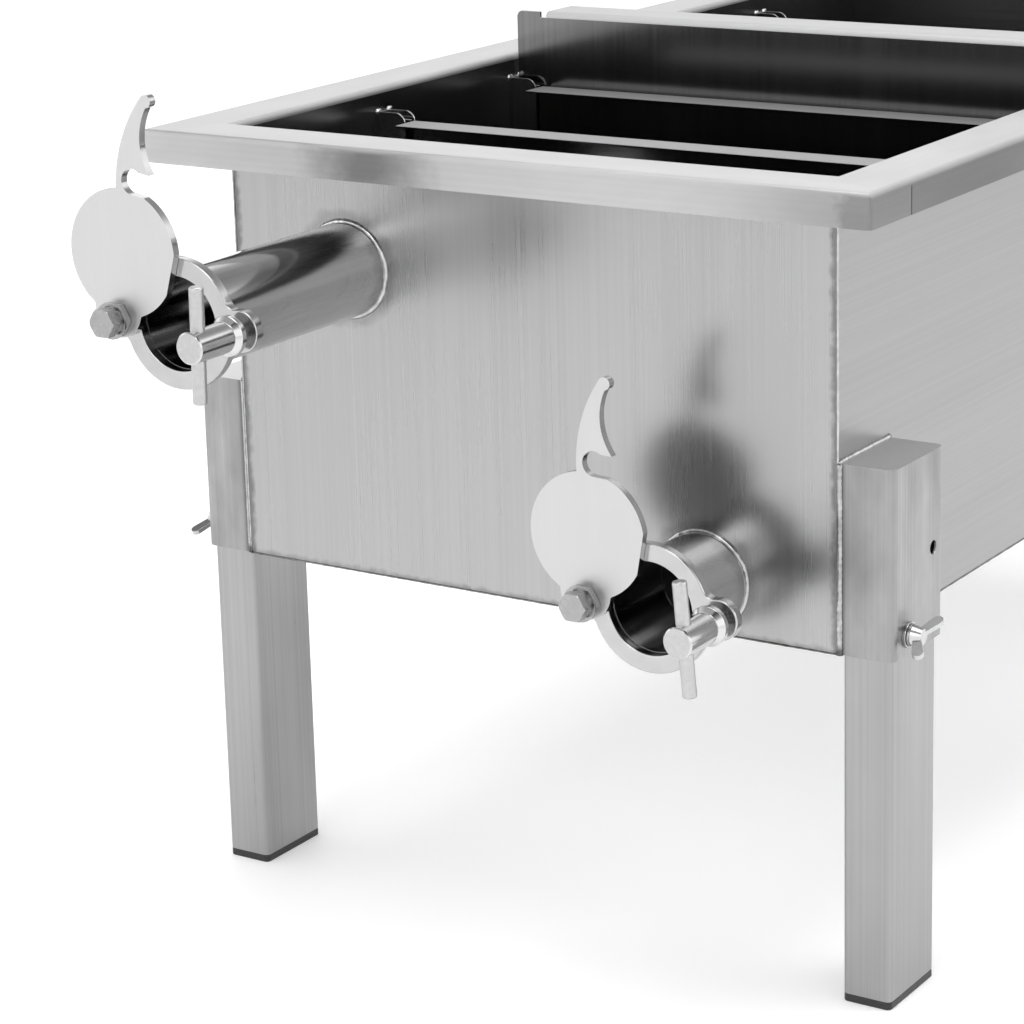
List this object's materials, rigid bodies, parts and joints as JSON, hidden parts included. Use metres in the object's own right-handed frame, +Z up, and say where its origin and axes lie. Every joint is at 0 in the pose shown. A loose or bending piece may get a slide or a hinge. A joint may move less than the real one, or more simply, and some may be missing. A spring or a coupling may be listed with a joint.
{
  "type": "uncapping tank",
  "caption": "Rectangular stainless tank on plug-in legs for settling honey from cappings, with a folded rim, lift-out plates in wall guides and clamped honey gates.",
  "frame": {"origin": "on the ground, under the middle of the bounding box", "axes": "+X to the right of a person facing the gates, +Y from the gates to the far end, +Z up"},
  "size_m": [0.622, 1.2984, 0.6425],
  "materials": {
    "sheet_steel": "brushed",
    "polished_steel": "polished",
    "black_plastic": "matte"
  },
  "bodies": {
    "tank": {"floor_sheet": "sheet_steel", "left_side_sheet": "sheet_steel", "right_side_sheet": "sheet_steel", "front_panel": "sheet_steel", "rear_panel": "sheet_steel", "leg_socket_front_left": "sheet_steel", "leg_socket_front_right": "sheet_steel", "leg_socket_rear_left": "sheet_steel", "leg_socket_rear_right": "sheet_steel", "weld_nuts": "polished_steel", "socket_welds": "polished_steel", "front_guide_left": "sheet_steel", "front_guide_right": "sheet_steel", "middle_guide_left": "sheet_steel", "middle_guide_right": "sheet_steel", "rear_guide_left": "sheet_steel", "rear_guide_right": "sheet_steel", "upper_outlet_pipe": "polished_steel", "lower_outlet_pipe": "polished_steel", "upper_gate_flange": "polished_steel", "lower_gate_flange": "polished_steel", "upper_pivot_bolt": "polished_steel", "lower_pivot_bolt": "polished_steel", "upper_pivot_washers": "polished_steel", "lower_pivot_washers": "polished_steel", "upper_pivot_nuts": "polished_steel", "lower_pivot_nuts": "polished_steel", "upper_clamp_stud": "polished_steel", "lower_clamp_stud": "polished_steel", "pipe_welds": "polished_steel"},
    "upper_blade": {"upper_gate_blade": "polished_steel"},
    "upper_collar": {"upper_thrust_collar": "polished_steel"},
    "upper_clamp": {"upper_t_nut": "polished_steel", "upper_tommy_bar": "polished_steel"},
    "lower_blade": {"lower_gate_blade": "polished_steel"},
    "lower_collar": {"lower_thrust_collar": "polished_steel"},
    "lower_clamp": {"lower_t_nut": "polished_steel", "lower_tommy_bar": "polished_steel"},
    "leg_front_left": {"leg_front_left": "sheet_steel", "foot_cap_front_left": "black_plastic"},
    "washer_front_left": {"wing_washer_front_left": "polished_steel"},
    "wing_front_left": {"wing_bolt_front_left": "polished_steel"},
    "leg_front_right": {"leg_front_right": "sheet_steel", "foot_cap_front_right": "black_plastic"},
    "washer_front_right": {"wing_washer_front_right": "polished_steel"},
    "wing_front_right": {"wing_bolt_front_right": "polished_steel"},
    "leg_rear_left": {"leg_rear_left": "sheet_steel", "foot_cap_rear_left": "black_plastic"},
    "washer_rear_left": {"wing_washer_rear_left": "polished_steel"},
    "wing_rear_left": {"wing_bolt_rear_left": "polished_steel"},
    "leg_rear_right": {"leg_rear_right": "sheet_steel", "foot_cap_rear_right": "black_plastic"},
    "washer_rear_right": {"wing_washer_rear_right": "polished_steel"},
    "wing_rear_right": {"wing_bolt_rear_right": "polished_steel"},
    "front_baffle": {"front_baffle": "sheet_steel"},
    "middle_baffle": {"middle_baffle": "sheet_steel"},
    "tall_partition": {"tall_partition": "sheet_steel"}
  },
  "joints": [
    {"name": "upper_blade_swing", "type": "hinge", "parent": "tank", "child": "upper_blade", "pos_m": [-0.197, -0.59485, 0.486], "axis": [0, 1, 0], "range_deg": [-90, 79]},
    {"name": "upper_clamp_travel", "type": "slide", "parent": "tank", "child": "upper_collar", "axis": [0, 1, 0], "range_m": [-0.004, 0.0034]},
    {"name": "upper_clamp_turn", "type": "hinge", "parent": "upper_collar", "child": "upper_clamp", "pos_m": [-0.097, -0.59485, 0.486], "axis": [0, 1, 0], "range_deg": [-960, 816]},
    {"name": "lower_blade_swing", "type": "hinge", "parent": "tank", "child": "lower_blade", "pos_m": [0.098, -0.47185, 0.2935], "axis": [0, 1, 0], "range_deg": [-90, 85]},
    {"name": "lower_clamp_travel", "type": "slide", "parent": "tank", "child": "lower_collar", "axis": [0, 1, 0], "range_m": [-0.004, 0.0034]},
    {"name": "lower_clamp_turn", "type": "hinge", "parent": "lower_collar", "child": "lower_clamp", "pos_m": [0.198, -0.47185, 0.2935], "axis": [0, 1, 0], "range_deg": [-960, 816]},
    {"name": "leg_front_left_draw", "type": "slide", "parent": "tank", "child": "leg_front_left", "axis": [0, 0, -1], "range_m": [0, 0.12]},
    {"name": "wing_front_left_travel", "type": "slide", "parent": "tank", "child": "washer_front_left", "axis": [-1, 0, 0], "range_m": [0, 0.00375]},
    {"name": "wing_front_left_turn", "type": "hinge", "parent": "washer_front_left", "child": "wing_front_left", "pos_m": [-0.292, -0.37785, 0.271], "axis": [-1, 0, 0], "range_deg": [0, 1080]},
    {"name": "leg_front_right_draw", "type": "slide", "parent": "tank", "child": "leg_front_right", "axis": [0, 0, -1], "range_m": [0, 0.12]},
    {"name": "wing_front_right_travel", "type": "slide", "parent": "tank", "child": "washer_front_right", "axis": [1, 0, 0], "range_m": [0, 0.00375]},
    {"name": "wing_front_right_turn", "type": "hinge", "parent": "washer_front_right", "child": "wing_front_right", "pos_m": [0.292, -0.37785, 0.271], "axis": [1, 0, 0], "range_deg": [0, 1080]},
    {"name": "leg_rear_left_draw", "type": "slide", "parent": "tank", "child": "leg_rear_left", "axis": [0, 0, -1], "range_m": [0, 0.12]},
    {"name": "wing_rear_left_travel", "type": "slide", "parent": "tank", "child": "washer_rear_left", "axis": [-1, 0, 0], "range_m": [0, 0.00375]},
    {"name": "wing_rear_left_turn", "type": "hinge", "parent": "washer_rear_left", "child": "wing_rear_left", "pos_m": [-0.292, 0.58015, 0.271], "axis": [-1, 0, 0], "range_deg": [0, 1080]},
    {"name": "leg_rear_right_draw", "type": "slide", "parent": "tank", "child": "leg_rear_right", "axis": [0, 0, -1], "range_m": [0, 0.12]},
    {"name": "wing_rear_right_travel", "type": "slide", "parent": "tank", "child": "washer_rear_right", "axis": [1, 0, 0], "range_m": [0, 0.00375]},
    {"name": "wing_rear_right_turn", "type": "hinge", "parent": "washer_rear_right", "child": "wing_rear_right", "pos_m": [0.292, 0.58015, 0.271], "axis": [1, 0, 0], "range_deg": [0, 1080]},
    {"name": "front_baffle_lift", "type": "slide", "parent": "tank", "child": "front_baffle", "axis": [0, 0, 1], "range_m": [0, 0.28]},
    {"name": "middle_baffle_lift", "type": "slide", "parent": "tank", "child": "middle_baffle", "axis": [0, 0, 1], "range_m": [0, 0.28]},
    {"name": "tall_partition_lift", "type": "slide", "parent": "tank", "child": "tall_partition", "axis": [0, 0, 1], "range_m": [0, 0.28]}
  ],
  "couplings": [
    {"joint": "upper_clamp_turn", "follows": "upper_clamp_travel", "rad_per_m": 4188.8},
    {"joint": "lower_clamp_turn", "follows": "lower_clamp_travel", "rad_per_m": 4188.8},
    {"joint": "wing_front_left_turn", "follows": "wing_front_left_travel", "rad_per_m": 5026.5},
    {"joint": "wing_front_right_turn", "follows": "wing_front_right_travel", "rad_per_m": 5026.5},
    {"joint": "wing_rear_left_turn", "follows": "wing_rear_left_travel", "rad_per_m": 5026.5},
    {"joint": "wing_rear_right_turn", "follows": "wing_rear_right_travel", "rad_per_m": 5026.5}
  ]
}
